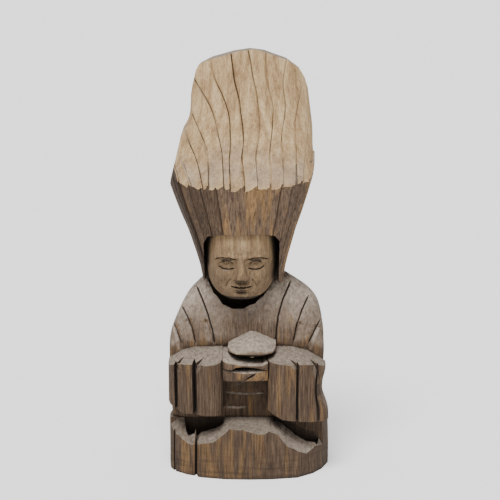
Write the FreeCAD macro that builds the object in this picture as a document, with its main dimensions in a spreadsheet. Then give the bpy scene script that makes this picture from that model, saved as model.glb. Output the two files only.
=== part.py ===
import FreeCAD, Part
import math
import os
import Sketcher
from FreeCAD import Vector

# A robed half figure carved in wood and joined from blocks with dowels.
# Millimetres. +Z is up, the figure faces -Y, and the origin is under the middle of the lap block.
# Left and right are the figure's own, so its left side is at +X.

DIMENSIONS = {
    "body_width": 114,          # widest part, across the lap block and the sleeves
    "body_depth": 86,           # lap block, front to back
    "lap_height": 38,           # seat that the torso stands on
    "joint_plane": 15,          # joint face of torso and sleeves, in front of the axis
    "skirt_height": 53,         # plain lower part of the torso, behind the sleeves
    "robe_height": 47,          # fluted upper part of the torso
    "sleeve_height": 60,
    "sleeve_bottom": 30,
    "hand_width": 31.4,
    "hand_offset": -3,
    "hand_depth": 20,
    "back_gap": 3,              # behind the hands and the offering, clear of the robe
    "lower_hand_bottom": 70,
    "lower_hand_height": 8.4,
    "upper_hand_bottom": 79.4,
    "upper_hand_height": 7.4,
    "offering_width": 32,
    "offering_height": 15.6,
    "offering_offset": 2,
    "head_height": 47,          # chin to the underside of the headdress brim
    "chin_height": 127,
    "face_width": 51,
    "head_offset": -5.5,        # the head stands a little to the figure's right
    "tongue_width": 41,         # part of the head that goes into the headdress
    "tongue_back": 12,          # its end, behind the axis
    "headdress_height": 162,
    "hair_front": 20,           # front of the side hair, in front of the axis
    "eye_plane": 31.3,          # bottom of the eye cuts, in front of the axis
    "fit": 0.15,                # clearance of a slip fit, each side
    "end_gap": 0.5,             # space past each end of a dowel
    "lap_dowel": 8,             # dowel diameters and lengths
    "lap_dowel_length": 30,
    "lap_dowel_side": 25,
    "lap_dowel_back": 14,
    "sleeve_dowel": 6,
    "sleeve_dowel_length": 24,
    "sleeve_dowel_side": 37,
    "sleeve_dowel_low": 56,
    "sleeve_dowel_high": 76,
    "hand_peg": 3,
    "hand_peg_length": 16,
    "hand_peg_front": 25,
    "offering_pin": 3,
    "offering_pin_length": 9,
    "pin_front": 7,             # in front of the hand's back
    "neck_dowel": 10,
    "neck_dowel_length": 32,
    "neck_dowel_back": 3,
    "hair_dowel": 6,
    "hair_dowel_length": 24,
    "hair_dowel_side": 15,
    "hair_dowel_back": 20,
}

doc = FreeCAD.newDocument("carved_ancestor_figure")
sheet = doc.addObject("Spreadsheet::Sheet", "Dims")
for row, (alias, size) in enumerate(DIMENSIONS.items(), start=1):
    sheet.set(f"A{row}", alias)
    sheet.set(f"B{row}", str(size))
    sheet.setAlias(f"B{row}", alias)
doc.recompute()


def linked(text):
    """An expression of dimension names and numbers, with each name tied to its cell."""
    return " ".join(f"Dims.{word}" if word in DIMENSIONS else word for word in text.split())


def amount(text):
    """What such an expression comes to now."""
    return float(sheet.evalExpression(text))


# ---- sketches and cuts

def new_body(label, across="0", back="0", height="0"):
    """A body whose own origin is placed in the figure's frame."""
    body = doc.addObject("PartDesign::Body", label)
    body.Label = label
    for axis, place in zip("xyz", (across, back, height)):
        body.setExpression(f"Placement.Base.{axis}", linked(place))
    return body


def new_sketch(body, name, plane, offset="0"):
    """A sketch on one of the body's origin planes, moved by offset along the plane's normal."""
    sketch = body.newObject("Sketcher::SketchObject", name)
    face = next(item for item in body.Origin.OriginFeatures if item.Role == plane)
    sketch.AttachmentSupport = (face, [""])
    sketch.MapMode = "FlatFace"
    sketch.setExpression("AttachmentOffset.Base.z", linked(offset))
    return sketch


def fix(sketch, kind, geometry, point, text):
    """Holds one coordinate of a point at an expression of dimensions."""
    number = sketch.addConstraint(
        Sketcher.Constraint(kind, -1, 1, geometry, point, amount(text)))
    sketch.setExpression(f"Constraints[{number}]", linked(text))


def scaled(share, size):
    """A coordinate: text is an expression already, and a number is a share of a dimension."""
    return share if isinstance(share, str) else f"{share:.4f} * {size}"


def outline(sketch, across, up, corners):
    """A closed outline whose corners are shares of the dimensions across and up."""
    first = sketch.GeometryCount
    texts = [(scaled(u, across), scaled(v, up)) for u, v in corners]
    places = [Vector(amount(u), amount(v), 0) for u, v in texts]
    for place, following in zip(places, places[1:] + places[:1]):
        sketch.addGeometry(Part.LineSegment(place, following))
    for step, (u, v) in enumerate(texts):
        line = first + step
        after = first + (step + 1) % len(texts)
        sketch.addConstraint(Sketcher.Constraint("Coincident", line, 2, after, 1))
        fix(sketch, "DistanceX", line, 1, u)
        fix(sketch, "DistanceY", line, 1, v)


def pad(body, sketch, length, both_ways=False):
    feature = body.newObject("PartDesign::Pad", sketch.Name + "Pad")
    feature.Profile = sketch
    feature.SideType = "Symmetric" if both_ways else "One side"
    feature.setExpression("Length", linked(length))
    finish(body, feature)


def pocket(body, sketch, length=None, backwards=False, both_ways=False):
    """Cuts a sketch away to a depth, or right through both ways when no length is given."""
    feature = body.newObject("PartDesign::Pocket", sketch.Name + "Cut")
    feature.Profile = sketch
    feature.Reversed = backwards
    if length:
        feature.setExpression("Length", linked(length))
    else:
        feature.Type = "ThroughAll"
    if both_ways or not length:
        feature.SideType = "Symmetric"
    before = body.Shape.Volume
    finish(body, feature)
    if not body.Shape.Volume < before - 0.01:
        raise RuntimeError(f"{body.Label}: {sketch.Name} cuts nothing")


def finish(body, feature):
    body.Tip = feature
    doc.recompute()


AROUND = [(-2, -1), (2, -1), (2, 2), (-2, 2)]     # far outside any block


def saw(body, name, plane, across, up, corners):
    """Saws a block to an outline, as seen square to one of its planes."""
    sketch = new_sketch(body, name, plane)
    outline(sketch, across, up, AROUND)
    outline(sketch, across, up, corners)
    pocket(body, sketch)


def drill(body, name, plane, face, centres, diameter, depth, backwards=False):
    """Blind dowel holes from a joint face, with a slip fit and an end gap."""
    sketch = new_sketch(body, name, plane, face)
    for across, up in centres:
        centre = Vector(amount(across), amount(up), 0)
        radius = amount(diameter) / 2 + amount("fit")
        circle = sketch.addGeometry(Part.Circle(centre, Vector(0, 0, 1), radius))
        fix(sketch, "DistanceX", circle, 3, across)
        fix(sketch, "DistanceY", circle, 3, up)
        number = sketch.addConstraint(Sketcher.Constraint("Radius", circle, radius))
        sketch.setExpression(f"Constraints[{number}]", linked(f"{diameter} / 2 + fit"))
    pocket(body, sketch, f"{depth} / 2 + end_gap", backwards)


def ring(left, right, front, back, flutes=10, tooth=0.05, backs=8, squareness=3.0):
    """Corners of a bowed section with toothed flutes in front and plain facets behind."""
    corners = []
    middle, half = (left + right) / 2, (right - left) / 2
    steps = [(math.pi * (1 + (flute + part) / flutes), part)
             for flute in range(flutes) for part in (0, 0.75)]
    steps += [(math.pi * facet / backs, 0) for facet in range(backs)]
    for angle, part in steps:
        across, depth = [math.copysign(abs(reach) ** (2 / squareness), reach)
                         for reach in (math.cos(angle), math.sin(angle))]
        depth *= -front if depth < 0 else back
        inward = 1 - tooth if part else 1
        corners.append((middle + half * across * inward, depth * inward))
    return corners


def loft(body, name, across, up, sections):
    """A straight-ruled loft through sections, each a height and its corners."""
    sketches = []
    for number, (height, corners) in enumerate(sections):
        sketch = new_sketch(body, f"{name}{number}", "XY_Plane", height)
        outline(sketch, across, up, corners)
        sketches.append(sketch)
    doc.recompute()
    feature = body.newObject("PartDesign::AdditiveLoft", name + "Loft")
    feature.Profile = sketches[0]
    feature.Sections = sketches[1:]
    feature.Ruled = True
    finish(body, feature)


# ---- the blocks

SHOULDER = "lap_height + skirt_height + robe_height"
BRIM = "chin_height + head_height"

LAP_PLAN = [(-0.50, -0.09), (-0.465, -0.25), (-0.335, -0.375), (-0.29, -0.44), (0, -0.50),
            (0.31, -0.44), (0.40, -0.325), (0.50, -0.01), (0.47, 0.21), (0.33, 0.41),
            (0.12, 0.50), (-0.14, 0.49), (-0.37, 0.38), (-0.48, 0.17)]
LAP_SIDE = [(-0.50, 0), (0.51, 0), (0.51, 1.01), (-0.19, 1.01), (-0.50, 0.90)]
RIGHT_HOLLOW = [(-0.52, 0.80), (-0.38, 0.64), (-0.32, 0.66), (-0.14, 0.94), (-0.14, 1.1),
                (-0.52, 1.1)]
LEFT_HOLLOW = [(0.11, 0.90), (0.21, 0.68), (0.37, 0.40), (0.41, 0.50), (0.52, 0.45),
               (0.52, 1.1), (0.11, 1.1)]
LAP_NICKS = [(-0.465, -0.25), (-0.325, -0.375)]


def make_lap_block():
    """The kneeling lap: a faceted block with a hollow under each sleeve."""
    body = new_body("lap_block")
    plan = new_sketch(body, "LapPlan", "XY_Plane")
    outline(plan, "body_width", "body_depth", LAP_PLAN)
    pad(body, plan, "lap_height")
    saw(body, "LapSide", "YZ_Plane", "body_depth", "lap_height", LAP_SIDE)
    hollows = new_sketch(body, "SleeveHollows", "XZ_Plane", "joint_plane - fit")
    outline(hollows, "body_width", "lap_height", RIGHT_HOLLOW)
    outline(hollows, "body_width", "lap_height", LEFT_HOLLOW)
    pocket(body, hollows, "body_depth", backwards=True)
    nicks = new_sketch(body, "LapNicks", "XY_Plane")
    for across, front in LAP_NICKS:
        outline(nicks, "body_width", "body_depth",
                [(across - 0.012, front - 0.06), (across + 0.014, front - 0.06),
                 (across + 0.002, front + 0.05)])
    pocket(body, nicks)
    holes = [(f"{side} * lap_dowel_side", "lap_dowel_back") for side in (-1, 1)]
    drill(body, "LapHoles", "XY_Plane", "lap_height", holes, "lap_dowel", "lap_dowel_length")
    return body


SKIRT_PLAN = [(-0.49, "- joint_plane"), (0.46, "- joint_plane"), (0.48, 0.05), (0.46, 0.24),
              (0.33, 0.42), (0.12, 0.49), (-0.14, 0.48), (-0.37, 0.38), (-0.48, 0.20),
              (-0.50, 0.02)]
ROBE = [      # share of the robe's height, left, right, front, back
    (0.00, -0.495, 0.475, -0.200, 0.480),
    (0.22, -0.470, 0.455, -0.185, 0.475),
    (0.45, -0.435, 0.430, -0.170, 0.450),
    (0.77, -0.365, 0.355, -0.115, 0.380),
    (1.00, -0.280, 0.250, -0.075, 0.310),
]


def make_torso_block():
    """The robed trunk: a plain skirt behind the sleeves and a fluted robe over the shoulders."""
    body = new_body("torso_block", height="lap_height")
    sections = [(f"skirt_height + {level} * robe_height", ring(*sides, squareness=3.4))
                for level, *sides in ROBE]
    loft(body, "Robe", "body_width", "body_depth", sections)
    skirt = new_sketch(body, "SkirtPlan", "XY_Plane")
    outline(skirt, "body_width", "body_depth", SKIRT_PLAN)
    pad(body, skirt, "skirt_height")
    lap = [(f"{side} * lap_dowel_side", "lap_dowel_back") for side in (-1, 1)]
    drill(body, "LapHoles", "XY_Plane", "0", lap, "lap_dowel", "lap_dowel_length", True)
    arms = [(f"{side} * sleeve_dowel_side", f"{height} - lap_height")
            for side in (-1, 1) for height in ("sleeve_dowel_low", "sleeve_dowel_high")]
    drill(body, "SleeveHoles", "XZ_Plane", "joint_plane", arms,
          "sleeve_dowel", "sleeve_dowel_length")
    shoulder = "skirt_height + robe_height"
    drill(body, "NeckHole", "XY_Plane", shoulder, [("head_offset", "neck_dowel_back")],
          "neck_dowel", "neck_dowel_length")
    hair = [(f"head_offset + {side} * hair_dowel_side", "hair_dowel_back") for side in (-1, 1)]
    drill(body, "HairHoles", "XY_Plane", shoulder, hair, "hair_dowel", "hair_dowel_length")
    return body


RIGHT_INNER = "hand_offset - hand_width / 2 - fit"
LEFT_INNER = "hand_offset + hand_width / 2 + fit"
RIGHT_SLEEVE_PLAN = [
    (-0.50, "- joint_plane"), (-0.50, -0.28), (-0.48, -0.36), (-0.456, -0.39), (-0.452, -0.343),
    (-0.443, -0.40), (-0.386, -0.436), (-0.342, -0.43), (-0.333, -0.378), (-0.325, -0.448),
    (-0.245, -0.453), (-0.184, -0.43), (RIGHT_INNER, -0.384), (RIGHT_INNER, "- joint_plane")]
LEFT_SLEEVE_PLAN = [
    (LEFT_INNER, "- joint_plane"), (LEFT_INNER, -0.384), (0.14, -0.442), (0.22, -0.46),
    (0.285, -0.442), (0.294, -0.378), (0.303, -0.442), (0.368, -0.424), (0.415, -0.39),
    (0.423, -0.337), (0.43, -0.372), (0.46, -0.326), (0.474, -0.256), (0.474, "- joint_plane")]
RIGHT_SLEEVE_FRONT = [(-0.55, 0.28), (-0.33, 0.13), (-0.12, 0.32), (-0.12, 1.1), (-0.55, 1.1)]
LEFT_SLEEVE_FRONT = [(0.08, 0.31), (0.29, 0.09), (0.38, 0.03), (0.60, 0.0), (0.60, 0.45),
                     (0.45, 0.60), (0.48, 0.90), (0.48, 1.1), (0.08, 1.1)]
SLEEVE_SIDE = [(-0.60, -0.1), (0, -0.1), (0, 1.02), (-0.60, 0.82)]


def make_sleeve(label, plan_corners, front_corners, side, peg_height):
    """A hanging sleeve with two deep folds, doweled to the torso and pegged to its hand."""
    body = new_body(label, height="sleeve_bottom")
    plan = new_sketch(body, "SleevePlan", "XY_Plane")
    outline(plan, "body_width", "body_depth", plan_corners)
    pad(body, plan, "sleeve_height")
    saw(body, "SleeveFront", "XZ_Plane", "body_width", "sleeve_height", front_corners)
    saw(body, "SleeveSide", "YZ_Plane", "body_depth", "sleeve_height", SLEEVE_SIDE)
    arm = [(f"{side} * sleeve_dowel_side", f"{height} - sleeve_bottom")
           for height in ("sleeve_dowel_low", "sleeve_dowel_high")]
    drill(body, "TorsoHoles", "XZ_Plane", "joint_plane", arm,
          "sleeve_dowel", "sleeve_dowel_length", True)
    inner = LEFT_INNER if side > 0 else RIGHT_INNER
    drill(body, "HandHole", "YZ_Plane", inner, [("- hand_peg_front", f"{peg_height} - sleeve_bottom")],
          "hand_peg", "hand_peg_length", side > 0)
    return body


HAND_PLAN = [(-0.5, 0), (-0.5, -0.80), (-0.38, -0.96), (0.08, -1.0), (0.40, -0.93),
             (0.5, -0.78), (0.5, 0)]
HAND_SIDE = [(-0.90, 0), (-1.02, 0.30), (-1.02, 0.75), (-0.93, 1), (1, 1), (1, 0)]


def make_hand(label, side, bottom, height, holds_offering=False):
    """A folded hand between the sleeves, pegged into its own sleeve."""
    body = new_body(label, "hand_offset", "- joint_plane - back_gap", bottom)
    plan = new_sketch(body, "HandPlan", "XY_Plane")
    outline(plan, "hand_width", "hand_depth", HAND_PLAN)
    pad(body, plan, height)
    saw(body, "HandSide", "YZ_Plane", "hand_depth", height, HAND_SIDE)
    centre = [("joint_plane + back_gap - hand_peg_front", f"{height} / 2")]
    drill(body, "SleeveHole", "YZ_Plane", f"{side} * hand_width / 2", centre,
          "hand_peg", "hand_peg_length", side < 0)
    if holds_offering:
        pin = [("offering_offset - hand_offset", "- pin_front")]
        drill(body, "PinHole", "XY_Plane", height, pin, "offering_pin", "offering_pin_length")
    return body


OFFERING_RIM = [(-0.5, 0), (-0.5, -0.62), (-0.34, -0.93), (0.03, -1.0), (0.31, -0.93),
                (0.5, -0.6), (0.5, 0)]
OFFERING = [(0, 0.62), (0.22, 1.0), (1.0, 0.14)]     # share of the height, size of the section


def make_held_offering():
    """The low faceted mound that rests on the upper hand."""
    body = new_body("held_offering", "offering_offset", "- joint_plane - back_gap",
                    "upper_hand_bottom + upper_hand_height")
    sections = [(f"{level} * offering_height", [(u * size, v * size) for u, v in OFFERING_RIM])
                for level, size in OFFERING]
    loft(body, "Mound", "offering_width", "hand_depth", sections)
    drill(body, "PinHole", "XY_Plane", "0", [("0", "- pin_front")],
          "offering_pin", "offering_pin_length", True)
    return body


FACE_PLAN = [
    ("- tongue_width / 2", "- hair_front"), (-0.5, "- hair_front"), (-0.5, -0.28), (-0.42, -0.36),
    (-0.2, -0.44), (0.2, -0.44), (0.42, -0.36), (0.5, -0.28), (0.5, "- hair_front"),
    ("tongue_width / 2", "- hair_front"), ("tongue_width / 2", "tongue_back"),
    ("- tongue_width / 2", "tongue_back")]
FACE_SIDE = [
    (-0.314, -0.01), (-0.366, 0.07), (-0.374, 0.21), (-0.385, 0.29), (-0.385, 0.52), (-0.420, 0.64),
    (-0.436, 1.01), (0.30, 1.01), (0.30, f"{SHOULDER} - chin_height"),
    (-0.12, f"{SHOULDER} - chin_height"), (-0.14, -0.01)]
FACE_FRONT = [(-0.20, -0.01), (0.20, -0.01), (0.36, 0.10), (0.46, 0.30), (0.51, 0.60),
              (0.51, 1.01), (-0.51, 1.01), (-0.51, 0.60), (-0.46, 0.30), (-0.36, 0.10)]
NOSE = [(-0.36, 0.62), (-0.465, 0.34), (-0.36, 0.29)]
EYE = [(0.10, 0.50), (0.20, 0.46), (0.32, 0.49), (0.30, 0.55), (0.18, 0.57)]
MOUTH = [(-0.50, 0.14), (-0.355, 0.17), (-0.50, 0.19)]


def make_head_block():
    """The head: a faceted face on a neck, with a tongue behind that fits into the headdress."""
    body = new_body("head_block", "head_offset", height="chin_height")
    plan = new_sketch(body, "FacePlan", "XY_Plane")
    outline(plan, "face_width", "body_depth", FACE_PLAN)
    pad(body, plan, "head_height")
    saw(body, "FaceSide", "YZ_Plane", "body_depth", "head_height", FACE_SIDE)
    saw(body, "FaceFront", "XZ_Plane", "face_width", "head_height", FACE_FRONT)
    eyes = new_sketch(body, "Eyes", "XZ_Plane", "eye_plane")
    for side in (-1, 1):
        outline(eyes, "face_width", "head_height", [(side * u, v) for u, v in EYE])
    pocket(body, eyes, "body_depth", backwards=True)
    mouth = new_sketch(body, "Mouth", "YZ_Plane")
    outline(mouth, "body_depth", "head_height", MOUTH)
    pocket(body, mouth, "0.32 * face_width", both_ways=True)
    nose = new_sketch(body, "Nose", "YZ_Plane")
    outline(nose, "body_depth", "head_height", NOSE)
    pad(body, nose, "0.19 * face_width", both_ways=True)
    drill(body, "NeckHole", "XY_Plane", f"{SHOULDER} - chin_height", [("0", "neck_dowel_back")],
          "neck_dowel", "neck_dowel_length", True)
    return body


CROWN = [     # share of the headdress's height, left, right, front, back
    (0.000, -0.290, 0.210, -0.460, 0.326),
    (0.074, -0.305, 0.230, -0.460, 0.350),
    (0.222, -0.373, 0.281, -0.465, 0.395),
    (0.302, -0.417, 0.320, -0.480, 0.413),
    (0.457, -0.493, 0.393, -0.495, 0.440),
    (0.525, -0.495, 0.400, -0.400, 0.440),
    (0.586, -0.470, 0.395, -0.310, 0.430),
    (0.642, -0.395, 0.390, -0.240, 0.420),
    (0.710, -0.345, 0.384, -0.180, 0.395),
    (0.895, -0.340, 0.340, -0.080, 0.290),
    (1.000, -0.330, 0.320, -0.040, 0.150),
]
CROWN_TOP = [(-1, -0.5), (1, -0.5), (1, 0.80), (0.355, 0.846), (0.317, 0.926), (0.246, 0.944),
             (0.08, 1.01), (-0.08, 1.01), (-0.14, 0.975), (-0.345, 0.89), (-1, 0.88)]


def make_headdress():
    """Side hair and a tall fluted headdress in one block, hollowed for the head."""
    body = new_body("headdress", height=SHOULDER)
    sections = [(f"{level} * headdress_height", ring(*sides)) for level, *sides in CROWN]
    loft(body, "Crown", "body_width", "body_depth", sections)
    saw(body, "CrownTop", "XZ_Plane", "body_width", "headdress_height", CROWN_TOP)
    brim = f"{BRIM} - ( {SHOULDER} )"
    opening = new_sketch(body, "FaceOpening", "YZ_Plane")
    outline(opening, "body_depth", "headdress_height",
            [(-1, -0.1), ("- hair_front", -0.1), ("- hair_front", brim), (-1, brim)])
    pocket(body, opening)
    recess = new_sketch(body, "TongueRecess", "XY_Plane")
    right = "head_offset - tongue_width / 2 - fit"
    left = "head_offset + tongue_width / 2 + fit"
    outline(recess, "body_width", "body_depth",
            [(right, -0.5), (left, -0.5), (left, "tongue_back + fit"), (right, "tongue_back + fit")])
    pocket(body, recess, brim, backwards=True)
    hair = [(f"head_offset + {side} * hair_dowel_side", "hair_dowel_back") for side in (-1, 1)]
    drill(body, "HairHoles", "XY_Plane", "0", hair, "hair_dowel", "hair_dowel_length", True)
    return body


# ---- the dowels

def make_dowels(label, diameter, length, starts, direction):
    """Dowels with chamfered ends, each laid from its start along one direction."""
    pins = []
    for number, start in enumerate(starts):
        rod = doc.addObject("Part::Cylinder", f"{label}_rod{number}")
        rod.setExpression("Radius", linked(f"{diameter} / 2"))
        rod.setExpression("Height", linked(length))
        rod.Placement.Rotation = FreeCAD.Rotation(Vector(0, 0, 1), direction)
        for axis, place in zip("xyz", start):
            rod.setExpression(f"Placement.Base.{axis}", linked(place))
        doc.recompute()
        pin = doc.addObject("Part::Chamfer", f"{label}_pin{number}")
        pin.Base = rod
        bevel = amount(f"{diameter} / 10")
        pin.Edges = [(1, bevel, bevel), (3, bevel, bevel)]
        pins.append(pin)
    group = doc.addObject("Part::Compound", label)
    group.Label = label
    group.Links = pins
    doc.recompute()
    return group


def make_all_dowels():
    up, back, across = Vector(0, 0, 1), Vector(0, 1, 0), Vector(1, 0, 0)
    sides = (-1, 1)
    return [
        make_dowels("lap_dowels", "lap_dowel", "lap_dowel_length", [
            (f"{side} * lap_dowel_side", "lap_dowel_back", "lap_height - lap_dowel_length / 2")
            for side in sides], up),
        make_dowels("sleeve_dowels", "sleeve_dowel", "sleeve_dowel_length", [
            (f"{side} * sleeve_dowel_side", "- joint_plane - sleeve_dowel_length / 2", height)
            for side in sides for height in ("sleeve_dowel_low", "sleeve_dowel_high")], back),
        make_dowels("hand_pegs", "hand_peg", "hand_peg_length", [
            (f"{RIGHT_INNER} - hand_peg_length / 2", "- hand_peg_front",
             "upper_hand_bottom + upper_hand_height / 2"),
            (f"{LEFT_INNER} - hand_peg_length / 2", "- hand_peg_front",
             "lower_hand_bottom + lower_hand_height / 2")], across),
        make_dowels("offering_pin", "offering_pin", "offering_pin_length", [
            ("offering_offset", "- joint_plane - back_gap - pin_front",
             "upper_hand_bottom + upper_hand_height - offering_pin_length / 2")], up),
        make_dowels("neck_dowel", "neck_dowel", "neck_dowel_length", [
            ("head_offset", "neck_dowel_back", f"{SHOULDER} - neck_dowel_length / 2")], up),
        make_dowels("headdress_dowels", "hair_dowel", "hair_dowel_length", [
            (f"head_offset + {side} * hair_dowel_side", "hair_dowel_back",
             f"{SHOULDER} - hair_dowel_length / 2") for side in sides], up),
    ]


pieces = [
    make_lap_block(),
    make_torso_block(),
    make_sleeve("right_sleeve", RIGHT_SLEEVE_PLAN, RIGHT_SLEEVE_FRONT, -1,
                "upper_hand_bottom + upper_hand_height / 2"),
    make_sleeve("left_sleeve", LEFT_SLEEVE_PLAN, LEFT_SLEEVE_FRONT, 1,
                "lower_hand_bottom + lower_hand_height / 2"),
    make_hand("right_hand", -1, "upper_hand_bottom", "upper_hand_height", True),
    make_hand("left_hand", 1, "lower_hand_bottom", "lower_hand_height"),
    make_held_offering(),
    make_head_block(),
    make_headdress(),
]
pieces += make_all_dowels()
doc.recompute()

# ---- every object and every piece is sound before anything is written

for item in doc.Objects:
    if "Invalid" in item.State or "Error" in item.State:
        raise RuntimeError(f"{item.Label} failed: {item.State}")
for piece in pieces:
    if piece.Shape.isNull() or not piece.Shape.isValid():
        raise RuntimeError(f"{piece.Label} is not a sound shape")

os.makedirs("parts", exist_ok=True)
for piece in pieces:
    piece.Shape.exportStep(f"parts/{piece.Label}.step")
    box = piece.Shape.BoundBox
    print(f"{piece.Label}: {len(piece.Shape.Solids)} solids, {piece.Shape.Volume / 1000:.1f} cm3, "
          f"{box.XLength:.1f} x {box.YLength:.1f} x {box.ZLength:.1f} mm from z {box.ZMin:.1f}")
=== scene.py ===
import math
import random
import bpy
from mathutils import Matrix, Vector, noise


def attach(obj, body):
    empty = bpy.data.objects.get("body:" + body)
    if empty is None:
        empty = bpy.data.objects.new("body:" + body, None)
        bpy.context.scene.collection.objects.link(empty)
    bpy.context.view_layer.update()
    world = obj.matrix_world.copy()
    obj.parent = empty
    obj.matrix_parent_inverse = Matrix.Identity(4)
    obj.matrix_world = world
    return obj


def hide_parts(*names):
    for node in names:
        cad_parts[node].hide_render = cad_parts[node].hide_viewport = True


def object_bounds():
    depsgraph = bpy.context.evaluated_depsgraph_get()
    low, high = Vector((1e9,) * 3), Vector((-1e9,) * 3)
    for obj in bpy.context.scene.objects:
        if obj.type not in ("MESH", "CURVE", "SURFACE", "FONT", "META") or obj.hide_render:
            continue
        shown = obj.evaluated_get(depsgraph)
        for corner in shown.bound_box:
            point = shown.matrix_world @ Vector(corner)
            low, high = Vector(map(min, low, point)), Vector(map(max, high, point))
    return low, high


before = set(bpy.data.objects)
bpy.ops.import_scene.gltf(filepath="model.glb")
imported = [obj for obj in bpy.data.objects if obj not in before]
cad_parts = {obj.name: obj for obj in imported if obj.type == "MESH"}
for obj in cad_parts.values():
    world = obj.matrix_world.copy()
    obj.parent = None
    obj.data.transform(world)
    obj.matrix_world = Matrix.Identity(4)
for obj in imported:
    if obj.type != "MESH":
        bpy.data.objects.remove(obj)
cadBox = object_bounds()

# Shapes are written in millimetres and become metres when they reach a mesh.
mm = 0.001
random.seed(11)


# ---------- small helpers

def clearSelection():
    if bpy.context.object and bpy.context.object.mode != "OBJECT":
        bpy.ops.object.mode_set(mode="OBJECT")
    bpy.ops.object.select_all(action="DESELECT")


def makeActive(piece):
    clearSelection()
    piece.select_set(True)
    bpy.context.view_layer.objects.active = piece


def editAll(piece):
    # edit mode with everything selected
    makeActive(piece)
    bpy.ops.object.mode_set(mode="EDIT")
    bpy.ops.mesh.select_all(action="SELECT")


def smoothRow(table, height):
    # a smooth curve through rows of (height, value, value, ...), lowest row first
    rows = [table[0], *table, table[-1]]
    height = min(max(height, table[0][0]), table[-1][0])
    for step in range(1, len(rows) - 2):
        low, high = rows[step], rows[step + 1]
        if height <= high[0]:
            break
    gap = high[0] - low[0]
    share = (height - low[0]) / gap
    values = []
    for column in range(1, len(low)):
        before, after = rows[step - 1], rows[step + 2]
        slopeLow = (high[column] - before[column]) / max(high[0] - before[0], gap)
        slopeHigh = (after[column] - low[column]) / max(after[0] - low[0], gap)
        square, cube = share ** 2, share ** 3
        values.append((2 * cube - 3 * square + 1) * low[column]
                      + (cube - 2 * square + share) * gap * slopeLow
                      + (3 * square - 2 * cube) * high[column]
                      + (cube - square) * gap * slopeHigh)
    return values


def wobble(point, size, amount):
    # slow unevenness of hand work, size and amount in mm
    return amount * noise.noise(Vector(point) / size)


def bowed(extents, turn, squareFront, squareBack):
    # a point on a rounded section; turn is in degrees from the front, towards +X
    left, right, front, back = extents
    across, along = math.sin(math.radians(turn)), math.cos(math.radians(turn))
    squareness = squareFront if along > 0 else squareBack
    across = math.copysign(abs(across) ** (2 / squareness), across)
    along = math.copysign(abs(along) ** (2 / squareness), along)
    x = (left + right) / 2 + across * (right - left) / 2
    y = along * front if along > 0 else -along * back
    return x, y


# ---------- modelling steps that many pieces share

def ringBlock(name, columns, rings, placePoint):
    # a cylinder of many rings, then every point is put in its place by column and share of height
    clearSelection()
    bpy.ops.mesh.primitive_cylinder_add(vertices=columns, radius=1, depth=1)
    piece = bpy.context.object
    piece.name = name
    bpy.ops.object.mode_set(mode="EDIT")
    bpy.ops.mesh.select_mode(type="EDGE")
    bpy.ops.mesh.select_all(action="DESELECT")
    bpy.ops.object.mode_set(mode="OBJECT")
    points = piece.data.vertices
    for edge in piece.data.edges:
        low, high = (points[number].co.z for number in edge.vertices)
        edge.select = abs(low - high) > 0.5
    bpy.ops.object.mode_set(mode="EDIT")
    bpy.ops.mesh.subdivide(number_cuts=rings - 1)
    bpy.ops.mesh.select_mode(type="VERT")
    bpy.ops.object.mode_set(mode="OBJECT")
    for point in piece.data.vertices:
        turn = math.atan2(point.co.x, -point.co.y) / (2 * math.pi) % 1
        column = round(turn * columns - (columns % 2) / 2) % columns
        point.co = Vector(placePoint(column, point.co.z + 0.5)) * mm
    return piece


def prism(name, outline, low, high, axis="Y", farOutline=None):
    # a flat outline pushed along one axis, to a second outline at its far end where one is given;
    # outline pairs are (y, z) along X, (x, z) along Y or (x, y) along Z
    clearSelection()
    bpy.ops.mesh.primitive_circle_add(vertices=len(outline), radius=1, fill_type="NGON")
    piece = bpy.context.object
    piece.name = name
    order = {"X": (2, 0, 1), "Y": (0, 2, 1), "Z": (0, 1, 2)}[axis]
    editAll(piece)
    bpy.ops.mesh.extrude_region_move(TRANSFORM_OT_translate={"value": (0, 0, 1)})
    bpy.ops.object.mode_set(mode="OBJECT")
    flats = [(u, v, low) for u, v in outline]
    flats += [(u, v, high) for u, v in farOutline or outline]
    for point, flat in zip(piece.data.vertices, flats):
        point.co = Vector([flat[place] for place in order]) * mm
    editAll(piece)
    bpy.ops.mesh.normals_make_consistent(inside=False)
    bpy.ops.object.mode_set(mode="OBJECT")
    return piece


def combine(piece, tool, operation):
    makeActive(piece)
    step = piece.modifiers.new("Combine", "BOOLEAN")
    step.operation = operation
    step.solver = "MANIFOLD"
    step.object = tool
    bpy.ops.object.modifier_apply(modifier=step.name)
    bpy.data.objects.remove(tool, do_unlink=True)


def cutOff(piece, point, normal):
    # one flat stroke: everything on the normal's side of the plane goes
    outward = Vector(normal).normalized()
    size = 400 * mm
    clearSelection()
    bpy.ops.mesh.primitive_cube_add(size=size, location=Vector(point) * mm + outward * size / 2,
                                    rotation=outward.to_track_quat("Z", "Y").to_euler())
    bpy.ops.object.transform_apply(location=True, rotation=True, scale=True)
    combine(piece, bpy.context.object, "DIFFERENCE")


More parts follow.
